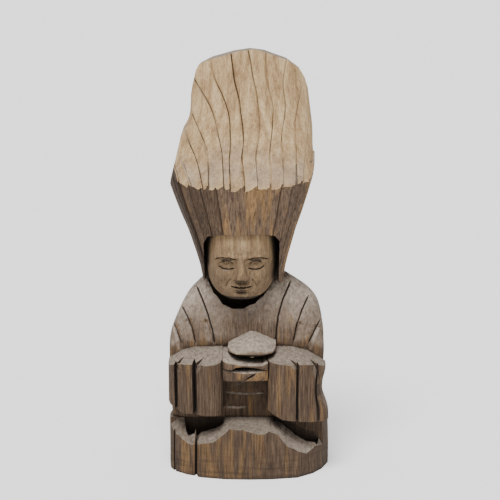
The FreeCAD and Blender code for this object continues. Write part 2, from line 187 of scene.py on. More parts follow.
def knifeLine(piece, path, width, depth, lean=0.0, lift=1.5, ends=(0.35, 0.35)):
    # a V cut along a path of (point, outward direction) pairs; lean tips its floor sideways,
    # lift is how far the blade stands out of the cut, ends are its shares of size at both ends
    clearSelection()
    bpy.ops.mesh.primitive_circle_add(vertices=3, radius=1, fill_type="NGON")
    knife = bpy.context.object
    rings = []
    for step, (point, outward) in enumerate(path):
        before = Vector(path[max(step - 1, 0)][0])
        after = Vector(path[min(step + 1, len(path) - 1)][0])
        along = (after - before).normalized()
        outward = Vector(outward).normalized()
        side = along.cross(outward).normalized()
        share = {0: ends[0], len(path) - 1: ends[1]}.get(step, 1.0)
        reach = width * (1 + lift) / 2 * share
        rings.append([Vector(point) - outward * depth * share + side * lean,
                      Vector(point) + outward * depth * lift + side * reach,
                      Vector(point) + outward * depth * lift - side * reach])
    editAll(knife)
    for _ in rings[1:]:
        bpy.ops.mesh.extrude_region_move(TRANSFORM_OT_translate={"value": (0, 0, 1)})
    bpy.ops.object.mode_set(mode="OBJECT")
    for number, point in enumerate(knife.data.vertices):
        point.co = rings[number // 3][number % 3] * mm
    editAll(knife)
    bpy.ops.mesh.normals_make_consistent(inside=False)
    bpy.ops.object.mode_set(mode="OBJECT")
    combine(piece, knife, "DIFFERENCE")


def onSurface(piece, route, inwards, steps=5):
    # lays a route of flat (u, v) pairs onto a piece, seen along the inwards direction
    inwards = Vector(inwards)
    path = []
    fine = []
    for (u, v), (uNext, vNext) in zip(route, route[1:]):
        fine += [(u + (uNext - u) * k / steps, v + (vNext - v) * k / steps) for k in range(steps)]
    fine.append(route[-1])
    for u, v in fine:
        start = Vector((u, -200, v)) if abs(inwards.y) > 0.5 else Vector((u, v, 500))
        hit, place, normal, _ = piece.ray_cast(start * mm, inwards)
        if hit:
            path.append((place / mm, (normal - inwards).normalized()))
    return path


def paint(piece, name, valueOf):
    # a value for each face, which the wood reads as an attribute
    layer = piece.data.attributes.get(name) or piece.data.attributes.new(name, "FLOAT", "FACE")
    for face in piece.data.polygons:
        layer.data[face.index].value = valueOf(face.center / mm, face.normal)


def finishPiece(piece, node, material, edge=0.35, angle=28, dustAndLitTop=0.0):
    # clean mesh, worn edges, and its place on the frame
    editAll(piece)
    bpy.ops.mesh.remove_doubles(threshold=0.02 * mm)
    bpy.ops.mesh.dissolve_degenerate(threshold=0.02 * mm)
    bpy.ops.mesh.select_all(action="SELECT")
    bpy.ops.mesh.normals_make_consistent(inside=False)
    bpy.ops.object.mode_set(mode="OBJECT")
    if edge:
        wear = piece.modifiers.new("Worn edges", "BEVEL")
        wear.width = edge * mm
        wear.segments = 2
        wear.limit_method = "ANGLE"
        wear.angle_limit = math.radians(angle)
        wear.use_clamp_overlap = True
        bpy.ops.object.modifier_apply(modifier=wear.name)
    bpy.ops.object.shade_smooth_by_angle(angle=math.radians(angle))
    # each piece's offset to the share of dust and painted top light on its upward faces
    paint(piece, "dustAndLitTop", lambda point, normal: dustAndLitTop)
    piece.data.materials.clear()
    piece.data.materials.append(material)
    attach(piece, "root")
    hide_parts(node)
    print("finished", piece.name, len(piece.data.polygons), "faces")


# ---------- materials

def linear(hexColour):
    # sRGB hex to the linear colour that a shader wants
    channels = [int(hexColour[k:k + 2], 16) / 255 for k in (1, 3, 5)]
    return [c / 12.92 if c <= 0.04045 else ((c + 0.055) / 1.055) ** 2.4 for c in channels] + [1]


def addNode(tree, kind, settings=None, inputs=None):
    # a node with its settings; an input is a value or another node's socket
    node = tree.nodes.new(kind)
    for name, value in (settings or {}).items():
        setattr(node, name, value)
    for name, value in (inputs or {}).items():
        if isinstance(value, bpy.types.NodeSocket):
            tree.links.new(value, node.inputs[name])
        else:
            node.inputs[name].default_value = value
    return node


woodLook = {
    "stain": ["#33281F", "#5C4A3B", "#78644F"],      # dark, middle and light of the upright faces
    "ochre": ["#6A5034", "#94734A"],                 # streaks where the stain has worn thin
    "bareAndLitTop": ["#84694A", "#A98C66", "#C9B088"],       # pale ochre of the headdress slope and the upper face: bare wood and painted top light
    "dustAndLitTopShades": ["#6F6357", "#8F8275", "#A99C8E"],       # paler upward faces: dust, and painted top light
    "paintedShadeColour": "#2A221C",                              # painted shade colour, at the bottom of cuts, in hollows and under overhangs
    "darker": "#8C857E",                             # the darker tone: painted shade inside the face opening, and a darker tone on some pieces
    "grainWidth": 0.8,        # mm between fibres, drawn about twice as coarse to show
    "grainLength": 15,        # mm along a fibre
    "streakWidth": 4.5,       # mm across a streak of softer wood
    "streakLength": 60,
    "fleckWidth": 0.35,       # mm, short torn fibres
    "fleckLength": 2.4,
    "patch": 17,              # mm across a patch of dust
    "chip": 2.2,              # mm across the marks of single knife strokes
    "sawGap": 2.4,            # mm between the saw's marks on the foot
    "cutReach": 4,            # mm, how wide a cut still gets painted shade
    "hollowReach": 22,        # mm, how wide a hollow still gets painted shade
}


def stainedWood():
    # softwood cut with knife and gouge, stained grey-brown and left dry: matt, streaked along the
    # grain, pale where it faces up from dust and painted top light, with painted shade in its cuts and
    # hollows
    look = woodLook
    material = bpy.data.materials.new("stainedCarvedWood")
    material.use_nodes = True
    tree = material.node_tree
    tree.nodes.clear()
    place = addNode(tree, "ShaderNodeTexCoord").outputs["Object"]

    def grain(width, length, detail, roughness, depth=None):
        stretch = addNode(tree, "ShaderNodeMapping", inputs={
            "Vector": place,
            "Scale": (1 / (width * mm), 1 / ((depth or width) * mm), 1 / (length * mm))})
        return addNode(tree, "ShaderNodeTexNoise", inputs={
            "Vector": stretch.outputs["Vector"], "Scale": 1.0, "Detail": detail,
            "Roughness": roughness, "Distortion": 0.3}).outputs["Fac"]

    def ramp(fac, stops):
        node = addNode(tree, "ShaderNodeValToRGB", inputs={"Fac": fac})
        points = node.color_ramp.elements
        while len(points) < len(stops):
            points.new(0.5)
        for point, (position, colour) in zip(points, stops):
            point.position = position
            point.color = colour
        return node.outputs["Color"]

    def shades(fac, name, positions):
        return ramp(fac, [(spot, linear(shade)) for spot, shade in zip(positions, look[name])])

    def mix(fac, first, second, blend="MIX"):
        node = addNode(tree, "ShaderNodeMix", {"data_type": "RGBA", "blend_type": blend})
        for name, value in (("Factor", fac), ("A", first), ("B", second)):
            socket = next(s for s in node.inputs if s.name == name and s.enabled)
            if isinstance(value, bpy.types.NodeSocket):
                tree.links.new(value, socket)
            else:
                socket.default_value = value
        return next(s for s in node.outputs if s.enabled)

    def sums(first, share, rest):
        return addNode(tree, "ShaderNodeMath", {"operation": "MULTIPLY_ADD"},
                       {0: first, 1: share, 2: rest}).outputs["Value"]

    def painted(name):
        return addNode(tree, "ShaderNodeAttribute", {"attribute_name": name}).outputs["Fac"]

    fibres = grain(look["grainWidth"], look["grainLength"], 5, 0.62)
    streaks = grain(look["streakWidth"], look["streakLength"], 3, 0.5)
    flecks = grain(look["fleckWidth"], look["fleckLength"], 4, 0.7)
    patches = grain(look["patch"], look["patch"] * 1.5, 4, 0.55)
    chips = grain(look["chip"], look["chip"] * 1.6, 5, 0.7)

    black, white = (0, 0, 0, 1), (1, 1, 1, 1)
    upright = shades(fibres, "stain", (0.30, 0.50, 0.70))
    ochreShare = ramp(sums(painted("streakAndShade"), 0.16, streaks), [(0.52, black), (0.68, white)])
    ochreShare = addNode(tree, "ShaderNodeMath", {"operation": "MULTIPLY"},
                         {0: ochreShare, 1: 0.75}).outputs["Value"]
    upright = mix(ochreShare, upright, shades(fibres, "ochre", (0.35, 0.62)))
    # negative values darken the stain: painted shade inside the face opening, a darker tone elsewhere
    shaded = ramp(sums(painted("streakAndShade"), -0.5, 0.0), [(0.0, white), (0.5, linear(look["darker"]))])
    upright = mix(0.9, upright, shaded, "MULTIPLY")

    # bare wood and painted top light on the upward slope and the upper face
    bareAndLitTop = shades(sums(streaks, 0.5, sums(fibres, 0.5, 0.0)), "bareAndLitTop", (0.36, 0.50, 0.66))
    upright = mix(painted("bareAndLitTop"), upright, bareAndLitTop)

    sawMarks = grain(38, look["sawGap"], 4, 0.65)
    sawn = addNode(tree, "ShaderNodeMath", {"operation": "MULTIPLY"},
                   {0: painted("sawn"), 1: ramp(sawMarks, [(0.48, black), (0.70, white)])})
    upright = mix(sawn.outputs["Value"], upright, linear(look["stain"][0]))

    normal = addNode(tree, "ShaderNodeNewGeometry").outputs["Normal"]
    facing = addNode(tree, "ShaderNodeSeparateXYZ", inputs={"Vector": normal}).outputs["Z"]
    # dust and painted top light: faces turned up get the paler tones
    dustAndLitTop = ramp(sums(patches, 0.45, sums(painted("dustAndLitTop"), 1.0, facing)),
                 [(0.38, black), (0.86, white)])
    colour = mix(dustAndLitTop, upright, shades(chips, "dustAndLitTopShades", (0.33, 0.50, 0.67)))

    colour = mix(painted("dark"), colour, linear(look["darker"]), "MULTIPLY")
    torn = ramp(flecks, [(0.28, linear("#7D746C")), (0.47, white)])
    colour = mix(0.75, colour, torn, "MULTIPLY")

    # painted shade: faces marked as lying in shade, then the ambient occlusion of cuts and hollows,
    # turn to the shade colour
    colour = mix(painted("paintedShade"), colour, linear(look["paintedShadeColour"]))
    for reach, low, high in ((look["cutReach"], 0.15, 0.72), (look["hollowReach"], 0.12, 0.55)):
        open_ = addNode(tree, "ShaderNodeAmbientOcclusion", {"samples": 8},
                        {"Distance": reach * mm}).outputs["AO"]
        colour = mix(ramp(open_, [(low, white), (high, black)]), colour, linear(look["paintedShadeColour"]))

    height = sums(flecks, 1.0, sums(fibres, 1.2, sums(chips, 1.4, 0.0)))
    bump = addNode(tree, "ShaderNodeBump", inputs={
        "Strength": 0.6, "Distance": 0.3 * mm, "Height": height}).outputs["Normal"]
    surface = addNode(tree, "ShaderNodeBsdfPrincipled", inputs={
        "Base Color": colour, "Roughness": sums(patches, 0.3, 0.7), "IOR": 1.5,
        "Specular IOR Level": 0.25, "Normal": bump})
    output = addNode(tree, "ShaderNodeOutputMaterial")
    tree.links.new(surface.outputs["BSDF"], output.inputs["Surface"])
    return material


def dowelWood():
    # plain birch rod as bought, pale, straight grained and a little smoother than the carving
    material = bpy.data.materials.new("birchDowel")
    material.use_nodes = True
    tree = material.node_tree
    place = addNode(tree, "ShaderNodeTexCoord").outputs["Object"]
    stretch = addNode(tree, "ShaderNodeMapping", inputs={
        "Vector": place, "Scale": (1 / (0.6 * mm), 1 / (0.6 * mm), 1 / (9 * mm))})
    fibres = addNode(tree, "ShaderNodeTexNoise", inputs={
        "Vector": stretch.outputs["Vector"], "Scale": 1.0, "Detail": 4.0}).outputs["Fac"]
    shades = addNode(tree, "ShaderNodeValToRGB", inputs={"Fac": fibres})
    for point, shade in zip(shades.color_ramp.elements, ("#B08F66", "#D9C09A")):
        point.color = linear(shade)
    bump = addNode(tree, "ShaderNodeBump", inputs={
        "Strength": 0.4, "Distance": 0.1 * mm, "Height": fibres}).outputs["Normal"]
    rough = addNode(tree, "ShaderNodeMath", {"operation": "MULTIPLY_ADD"},
                    {0: fibres, 1: 0.2, 2: 0.5}).outputs["Value"]
    surface = tree.nodes["Principled BSDF"]
    for name, socket in (("Base Color", shades.outputs["Color"]), ("Normal", bump),
                         ("Roughness", rough)):
        tree.links.new(socket, surface.inputs[name])
    return material


def dressDowels(material):
    # the pins inside the joints are the frame's own, only their wood is set here
    for name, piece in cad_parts.items():
        if piece.hide_render:
            continue
        for holder in piece.material_slots:
            holder.link = "OBJECT"
            holder.material = material
        print("dressed", name, len(piece.material_slots), "slots")


# ---------- camera, light and floor

stage = {
    "elevation": 12,          # degrees above level
    "distance": 5.0,          # in heights of the figure
    "widthSeen": 1.185,       # heights of the figure across the picture
    "aim": 0.523,             # share of the height
    "aside": 0.5,             # mm, the camera stands this far towards +X
    "floor": 60,              # metres, so large that its edge is never seen
    "keyHeight": 60,          # degrees above level of the soft key light
    "keySide": -14,           # degrees to the left of the camera
    "keySoftness": 28,        # degrees across
    "keyStrength": 4.6,
    "skyStrength": 0.42,
    "paper": 0.93,
    "paperGlow": 0.35,        # light coming back from the studio walls around the sheet
}


def setStage():
    low, high = (Vector(corner) for corner in cadBox)
    tall = high.z - low.z
    aim = Vector((stage["aside"] * mm, 0, low.z + stage["aim"] * tall))
    rise = math.radians(stage["elevation"])
    distance = stage["distance"] * tall
    back = Vector((0, -math.cos(rise), math.sin(rise))) * distance
    clearSelection()
    bpy.ops.object.camera_add(location=aim + back, rotation=(math.pi / 2 - rise, 0, 0))
    camera = bpy.context.object
    camera.data.sensor_width = 36
    camera.data.lens = 36 * stage["distance"] / stage["widthSeen"]
    camera.data.clip_start = 0.05
    camera.data.clip_end = 30
    bpy.context.scene.camera = camera

    bpy.ops.mesh.primitive_plane_add(size=stage["floor"], location=(0, 0, low.z))
    floor = bpy.context.object
    floor.name = "floor"
    paper = bpy.data.materials.new("whitePaper")      # matt uncoated sheet
    paper.use_nodes = True
    sheet = paper.node_tree.nodes["Principled BSDF"]
    sheet.inputs["Base Color"].default_value = (stage["paper"],) * 3 + (1,)
    sheet.inputs["Roughness"].default_value = 0.95
    sheet.inputs["Emission Color"].default_value = (1, 1, 1, 1)
    sheet.inputs["Emission Strength"].default_value = stage["paperGlow"]
    floor.data.materials.append(paper)

    world = bpy.data.worlds.new("studio")
    bpy.context.scene.world = world
    world.use_nodes = True
    sky = world.node_tree.nodes["Background"]
    sky.inputs["Color"].default_value = (1, 1, 1, 1)
    sky.inputs["Strength"].default_value = stage["skyStrength"]

    lift, side = math.radians(stage["keyHeight"]), math.radians(stage["keySide"])
    place = Vector((math.sin(side) * math.cos(lift), -math.cos(side) * math.cos(lift), math.sin(lift)))
    bpy.ops.object.light_add(type="SUN", location=place)
    key = bpy.context.object
    key.name = "key"
    key.data.energy = stage["keyStrength"]
    key.data.angle = math.radians(stage["keySoftness"])
    key.rotation_euler = (-place).to_track_quat("-Z", "Y").to_euler()
    print("stage set")


# ---------- headdress

crown = {
    "foot": 138,              # height where the fluted cone starts
    "tall": 165,
    "squareness": 2.6,
    "axis": -5.5,             # across, the middle that the flutes are cut towards
    "coneRings": 90,
    "narrow": 70,             # a section slimmer than this gets shallower flutes
    "rimLine": 176.6,         # height of the top of the face opening, with a little to spare
    "rimSides": (-32.2, 22),
    "rimDepths": (-39, -7),
    "outline": [     # height, left, right, front, back
        (138, -32.0, 24.0, -37, 28), (150, -34.5, 26.0, -38, 30.5), (174, -42.0, 32.5, -39, 34),
        (187, -47.6, 37.0, -40.5, 35.5), (212, -56.3, 44.6, -43.5, 38), (223, -57, 45.6, -47, 38),
        (232, -54.5, 45.2, -52, 37.5), (243, -46, 44.6, -58, 36.5), (253, -40.5, 43.6, -62, 35),
        (275, -39.4, 40.6, -68, 28), (288, -39.2, 38.4, -71, 21), (303, -38.8, 34, -74, 11)],
    "bow": 43,                # how far the slope falls back towards its sides
    "bowMiddle": -5.7,
    "bowHalf": 51.5,
    "crestFade": (262, 50),   # the flutes get shallower towards this height, over this distance
    "slopeHeights": [125, 160, 190] + [200 + 1.5 * k for k in range(71)],
    "slope": [       # height, distance in front of the axis of the slope over the crest
        (125, -125), (190, -62), (205, -47), (212, -42), (225, -30), (240, -20.5), (258, -13),
        (280, -7.5), (306, -2.5)],
    "lines": [       # height, then the knife lines across the slope from -X to +X
        (125, -58, -48, -38, -30.5, -27, -17, -12.5, -3.5, 5.6, 14.7, 23.5, 32.5, 37, 51),
        (205, -58, -48, -38.5, -31, -27.4, -16.4, -12.6, -3.6, 5.6, 14.7, 23.5, 33.0, 37, 51),
        (225, -64, -53.5, -47.5, -36.5, -28.6, -18.3, -13.6, -5.0, 5.0, 14.7, 23.3, 32.6, 38.4, 52),
        (240, -70, -60, -54.5, -43.6, -32.6, -20.8, -13, -3.9, 6.2, 15.1, 22.5, 31.8, 40.7, 53),
        (258, -76, -66, -60, -51, -41, -25.8, -14.4, -5.5, 6.5, 16.1, 24.7, 33.2, 43, 56),
        (280, -80, -72, -65, -57, -48, -38.6, -24, -10.2, 3.3, 12.2, 24, 39.5, 48, 60),
        (306, -86, -78, -71, -64, -55, -46, -33, -14.5, -2, 11.8, 30.5, 46, 54, 66)],
    "lowFlutes": 27,
    "tops": [(-38.6, 279.5), (-37.3, 285.3), (-35.2, 289.2), (-28.1, 292.8), (-7.9, 298.6),
             (1.9, 300.0), (7.5, 299.3), (27.0, 292.1), (35.4, 286.0), (39.0, 280), (42.0, 270.6)],
    "face": [(-31.4, 110), (-31.6, 150), (-32, 168), (-29, 173.6), (-22, 175.4), (10, 175.8),
             (17.5, 174.4), (21.2, 170), (20.8, 150), (20.2, 110)],
}

# share across a flute, share of the knife line's depth there
fluteStations = [(0.0, 1.0), (0.06, 0.3), (0.15, 0.0), (0.33, 0.0), (0.5, 0.0), (0.67, 0.0),
                 (0.85, 0.0), (0.94, 0.3)]


def fluteDepth(share, line, hollow, tilt):
    # depth below the uncut surface: a knife line at each edge, a gouged hollow, a tilted floor
    lineShare = next(depth for place, depth in fluteStations if abs(place - share) < 0.001)
    return line * lineShare + hollow * 4 * share * (1 - share) + tilt * (share - 0.5)


def makeCrownCone(flutes):
    # everything below and behind the crest, fluted all round
    stations = len(fluteStations)
    edges = [360 * (k + random.uniform(-0.16, 0.16)) / flutes for k in range(flutes)]
    edges.append(edges[0] + 360)
    cuts = [(random.uniform(1.0, 1.7), random.uniform(0.5, 1.2), random.uniform(-2.6, 2.6))
            for _ in range(flutes)]

    def placePoint(column, rise):
        flute, station = divmod(column, stations)
        share = fluteStations[station][0]
        height = crown["foot"] + rise * crown["tall"]
        turn = edges[flute] + share * (edges[flute + 1] - edges[flute])
        turn += wobble((flute * 40, 7, height), 30, 1.2)
        extents = smoothRow(crown["outline"], height)
        x, y = bowed(extents, turn, crown["squareness"], crown["squareness"])
        depth = fluteDepth(share, *cuts[flute]) + wobble((x, y, height), 14, 0.35)
        depth = (depth - 1.0) * min(1, (extents[1] - extents[0]) / crown["narrow"])
        outward = Vector((x - crown["axis"], y)).normalized()
        return x - outward.x * depth, y - outward.y * depth, height

    return ringBlock("crownCone", flutes * stations, crown["coneRings"], placePoint)


def makeCrownSlope():
    # a slab whose front is the fluted slope over the crest
    stations = len(fluteStations)
    table = crown["lines"]
    flutes = len(table[0]) - 2
    heights = crown["slopeHeights"]
    columns = flutes * stations + 1
    clearSelection()
    bpy.ops.mesh.primitive_grid_add(x_subdivisions=columns - 1, y_subdivisions=len(heights) - 1,
                                    size=2)
    slab = bpy.context.object
    slab.name = "crownSlope"
    cuts = [(random.uniform(1.1, 1.7), random.uniform(0.8, 1.6), random.uniform(-3.4, -0.4))
            for _ in range(flutes + 1)]
    for point in slab.data.vertices:
        column = round((point.co.x + 1) / 2 * (columns - 1))
        row = round((point.co.y + 1) / 2 * (len(heights) - 1))
        flute, station = divmod(column, stations)
        share = fluteStations[station][0]
        height = heights[row]
        lines = smoothRow(table, height) + [90]
        left, right = lines[flute], lines[min(flute + 1, flutes)]
        x = left + share * (right - left) + wobble((flute * 30, 3, height), 17, 1.5)
        across = min(abs(x - crown["bowMiddle"]) / crown["bowHalf"], 0.985)
        square = crown["squareness"]
        bow = crown["bow"] * (1 - (1 - across ** square) ** (1 / square))
        y = smoothRow(crown["slope"], height)[0] + bow
        line, hollow, tilt = cuts[flute]
        top, fade = crown["crestFade"]
        crestward = min(max((top - height) / fade, 0.35), 1.0)
        y += fluteDepth(share, line, hollow * crestward * 1.3, tilt * crestward)
        y += wobble((x, y, height), 13, 0.4)
        point.co = Vector((x, y, height)) * mm
    editAll(slab)
    bpy.ops.mesh.extrude_region_move(TRANSFORM_OT_translate={"value": (0, 0.25, 0)})
    bpy.ops.mesh.select_all(action="SELECT")
    bpy.ops.mesh.normals_make_consistent(inside=False)
    bpy.ops.object.mode_set(mode="OBJECT")
    return slab


def crownStrip(point):
    # which flute of the upright part a point is on
    left, right = smoothRow(crown["outline"], point.z)[:2]
    across = max(-1, min(1, (point.x - (left + right) / 2) / ((right - left) / 2)))
    turn = math.degrees(math.asin(abs(across) ** 1.3)) * (1 if across > 0 else -1)
    return math.floor((turn if point.y < 0 else 180 - turn) * crown["lowFlutes"] / 360)


def makeHeadDress(material):
    headdress = makeCrownCone(crown["lowFlutes"])
    headdress.name = "headdressCarved"
    combine(headdress, makeCrownSlope(), "INTERSECT")
    for (x, z), (xNext, zNext) in zip(crown["tops"], crown["tops"][1:]):
        cutOff(headdress, (x, 0, z), Vector((z - zNext, 0.35, xNext - x)).normalized())
    combine(headdress, prism("faceOpening", crown["face"], -80, -8), "DIFFERENCE")
    finishPiece(headdress, "headdress", material, edge=0.25)
    tones = [random.uniform(-1, 1) for _ in range(crown["lowFlutes"] * 2)]
    table = crown["lines"]

    def onSlope(point, normal):
        return point.z > 206 and (normal.z > 0.3 or point.z > 222) and normal.y < 0.25

    # the walls and rim inside the face opening, which get painted shade
    def inOpening(point, normal):
        (left, right), (front, back) = crown["rimSides"], crown["rimDepths"]
        outside = normal.y < -0.3 and point.y < back - 2
        within = left < point.x < right and front < point.y < back
        return point.z < crown["rimLine"] and within and not outside

    def streakAndShadeOf(point, normal):
        # painted shade on the walls inside the face opening
        if inOpening(point, normal):
            return -0.6
        if onSlope(point, normal):
            lines = smoothRow(table, point.z)
            return 0.6 * tones[sum(line < point.x for line in lines)]
        if point.y > 0:
            return 0.4 * tones[crownStrip(point)]
        across = max(-0.7, min(0.45, (point.x + 6) / 28))
        return max(-1, min(1, 0.65 * tones[crownStrip(point)] + across))

    paint(headdress, "streakAndShade", streakAndShadeOf)
    # the upward slope over the crest: bare wood and painted top light
    paint(headdress, "bareAndLitTop", lambda point, normal: 1.0 if onSlope(point, normal) else 0.0)
    # more painted shade inside the face opening
    paint(headdress, "paintedShade", lambda point, normal: 0.4 if inOpening(point, normal) else 0.0)
    # less dust and painted top light on the headdress, least on its slope
    paint(headdress, "dustAndLitTop", lambda point, normal: -0.3 if onSlope(point, normal) else -0.1)
    print("headdress carved")


# ---------- torso and robe

torso = {
    "foot": 38,
    "tall": 100,
    "roundFrom": 92,          # below this the front is a flat seam for the sleeves
    "outline": [     # height, left, right, front, back, squareness of the front
        (38, -55, 52, -14.9, 41, 9), (60, -56.5, 52, -14.9, 41.5, 9), (86, -57, 53.4, -15.0, 41, 8),
        (93, -56.8, 53.2, -17.5, 41, 4.5), (101, -55.2, 52.8, -17.5, 40.5, 3.6),
        (112, -50.8, 51.2, -16.5, 39, 3.1), (121, -46.6, 48.2, -14.5, 36.5, 2.9),
        (128, -42, 42.8, -11.5, 34, 2.8), (133, -37, 36.4, -8.5, 31, 2.7),
        (138, -31.5, 28.6, -5.5, 28, 2.6)],
    "lines": [       # the thin knife lines of the robe, seen from the front
        [(-38.5, 134), (-33.5, 124), (-29.2, 113), (-26.2, 102), (-24.6, 92.5)],
        [(-50.5, 122), (-44.5, 112), (-40.6, 103), (-38.2, 92.5)],
        [(-54.5, 106), (-51, 99), (-48.4, 92)],
        [(29.5, 135.5), (23.8, 124), (20.4, 112), (19.2, 102), (18.8, 93)],
        [(43.5, 128), (37.5, 116.5), (33.8, 106), (31.2, 93)],
        [(51.8, 110), (46.5, 101), (42.2, 92.5)]],
    "leaves": [      # shallow leaf-shaped cuts beside the lower ends of the lines
        [(-32.5, 110), (-29.4, 101), (-27.0, 94)], [(-45, 110), (-42.2, 101), (-40.4, 94)],
        [(-54.4, 103), (-52.6, 98), (-51, 93)], [(37.5, 108), (34.8, 100), (32.9, 94)],
        [(50, 104), (47.5, 99), (45, 93.5)]],
    # the neck stands in a deep hollow, so that the chin hangs over it
    "neckFloor": 113,
    "neckHollow": [(-30, 2), (-29, -5), (-25.5, -10.5), (-19, -14), (-12, -15.2), (-4, -15.5),
                   (4, -14.8), (10, -12.4), (15, -8), (17, -3), (17.5, 2)],
    "belly": [[(-17, 66), (-6, 65), (8, 66.5), (13, 66)], [(-17, 57.5), (-3, 56), (12, 57)],
              [(-16, 46.5), (-8, 46), (-2, 46.5)], [(-8, 61), (-7.5, 66), (-8, 71)]],
}


def makeTorso(material):
    def placePoint(column, rise):
        height = torso["foot"] + rise * torso["tall"]
        left, right, front, back, square = smoothRow(torso["outline"], height)
        x, y = bowed((left, right, front, back), column * 4, square, 2.7)
        if height > torso["roundFrom"] or y > 5:
            y += wobble((x, y, height), 16, 0.7)
            x += wobble((x, y, height + 90), 16, 0.5)
        return x, y, height

    piece = ringBlock("torsoCarved", 90, 56, placePoint)
    for leaf in torso["leaves"]:
        path = onSurface(piece, leaf, (0, 1, 0))
        path.append((path[-1][0] + Vector((0, 0, -6)), path[-1][1]))
        knifeLine(piece, path, 5.5, 0.9, lean=-1.2 if leaf[0][0] < 0 else 1.2, ends=(0.1, 1.0))
    for line in torso["lines"]:
        knifeLine(piece, onSurface(piece, line, (0, 1, 0)), 1.5, 2.2)
    for line in torso["belly"]:
        knifeLine(piece, onSurface(piece, line, (0, 1, 0)), 3.0, 0.9, lean=0.6)
    hollow = prism("neckHollow", torso["neckHollow"], torso["neckFloor"], 150, axis="Z")
    combine(piece, hollow, "DIFFERENCE")
    finishPiece(piece, "torso_block", material, edge=0.25, dustAndLitTop=0.15)
    paint(piece, "streakAndShade", lambda point, normal: -0.2)

    # painted shade on the floor and walls of the hollow under the chin
    def paintedShadeOf(point, normal):
        deep = torso["neckFloor"]
        inNeck = point.z > deep - 0.5 and -31 < point.x < 18 and -15.7 < point.y < 2.1
        floor = point.z < deep + 0.6 and normal.z > 0.97
        return 0.7 if inNeck and (floor or abs(normal.z) < 0.03) else 0.0

    paint(piece, "paintedShade", paintedShadeOf)


# ---------- sleeves

# both sleeves start over long, and the flat strokes take them to their real ends
sleeveFoot, sleeveTall = 26, 70
# height, how far the outer side of the left sleeve swells or is hollowed there
sleeveDents = [(25, 1.6), (46, 1.8), (52, 0.2), (60, -2.4), (68, -2.2), (76, -0.4), (96, 0)]

sleeves = {
    "right_sleeve": {
        "plan": [(-57, -15), (-57.2, -24), (-56, -29.5), (-52.9, -33.3), (-51.7, -28.2),
                 (-50.3, -34.1), (-46, -36.8), (-40.2, -37.8), (-38.6, -30.5), (-36.8, -38.6),
                 (-30, -40.5), (-24, -39.6), (-20.6, -37), (-18.9, -32), (-18.9, -15)],
        "cuts": [((-30, -17, 90.6), (-0.05, -0.36, 1)), ((-46, -17, 88), (-0.3, -0.25, 1)),
                 ((-52, -17, 84.8), (-0.6, -0.15, 1)), ((-34, -30, 39.2), (-0.58, 0, -1)),
                 ((-34, -30, 39.2), (0.41, 0, -1)), ((-57, -30, 47.4), (-0.05, 0, -1))],
        "cutLines": [(-51.7, 1.6), (-38.6, 2.2)],
        "folds": [[(-38.6, -37.5, 66), (-38.2, -38, 76), (-35.5, -36.5, 83), (-29.5, -29, 88)],
                  [(-51.7, -33, 70), (-51.2, -33.5, 77), (-48.8, -32.5, 83), (-43.5, -25, 88)]],
    },
    "left_sleeve": {
        "plan": [(12.9, -15), (12.9, -33.5), (15.5, -37.5), (22, -40), (30, -40.4), (32.8, -39.4),
                 (33.6, -35.0), (34.8, -39.0), (41, -37.6), (46.9, -34.4), (47.9, -30.2),
                 (49, -32.4), (52.6, -28.5), (54.3, -22), (54.3, -15)],
        "cuts": [((24, -17, 91), (0.04, -0.36, 1)), ((38, -17, 88.4), (0.28, -0.25, 1)),
                 ((46, -17, 84.5), (0.62, -0.1, 1)), ((23.5, -30, 43), (-0.12, 0, -1)),
                 ((23.5, -30, 43), (-0.55, 0, -1)), ((40, -30, 34), (-0.12, 0, -1))],
        "cutLines": [(33.6, 1.3), (47.9, 1.2)],
        "folds": [[(33.6, -37.5, 74), (33.2, -38.5, 80), (31, -37.5, 84), (26.5, -32, 87)],
                  [(47.9, -32.5, 72), (47.2, -33.5, 77), (44.5, -32.5, 83), (39.5, -25, 88)]],
    },
}


def makeSleeve(node, material):
    look = sleeves[node]
    plan = look["plan"]

    def placePoint(column, rise):
        x, y = plan[column]
        height = sleeveFoot + rise * sleeveTall
        if x > 45:
            x += smoothRow(sleeveDents, height)[0] * min((x - 45) / 8, 1)
        if y < -16:
            x += wobble((x, y, height), 22, 0.5)
            y += wobble((x + 60, y, height), 22, 0.9)
        return x, y, height

    piece = ringBlock(node.replace("_sleeve", "SleeveCarved"), len(plan), 24, placePoint)
    for point, normal in look["cuts"]:
        cutOff(piece, point, normal)
    for fold in look["folds"]:
        outwards = [(0, -1, 0), (0, -1, 0.1), (0, -0.75, 0.75), (0, -0.3, 1)]
        side = 1 if fold[0][0] < 0 else -1
        knifeLine(piece, list(zip(fold, outwards)), 3.4, 3.0, lean=-side * 1.0, lift=0.7,
                  ends=(0.4, 0.3))
    finishPiece(piece, node, material, edge=0.3)

    # painted shade on the undersides and on the walls of the deep V cuts
    def paintedShadeOf(point, normal):
        if normal.z < -0.45:
            return 0.6
        inCut = any(abs(point.x - x) < reach for x, reach in look["cutLines"])
        return 0.6 if inCut and abs(normal.x) > 0.8 else 0.0

    paint(piece, "paintedShade", paintedShadeOf)
    paint(piece, "streakAndShade", lambda point, normal: 0.1 if point.x > 0 else -0.25)
    paint(piece, "dark", lambda point, normal: 0.36 if point.x > 0 else 0.3)


# ---------- lap block

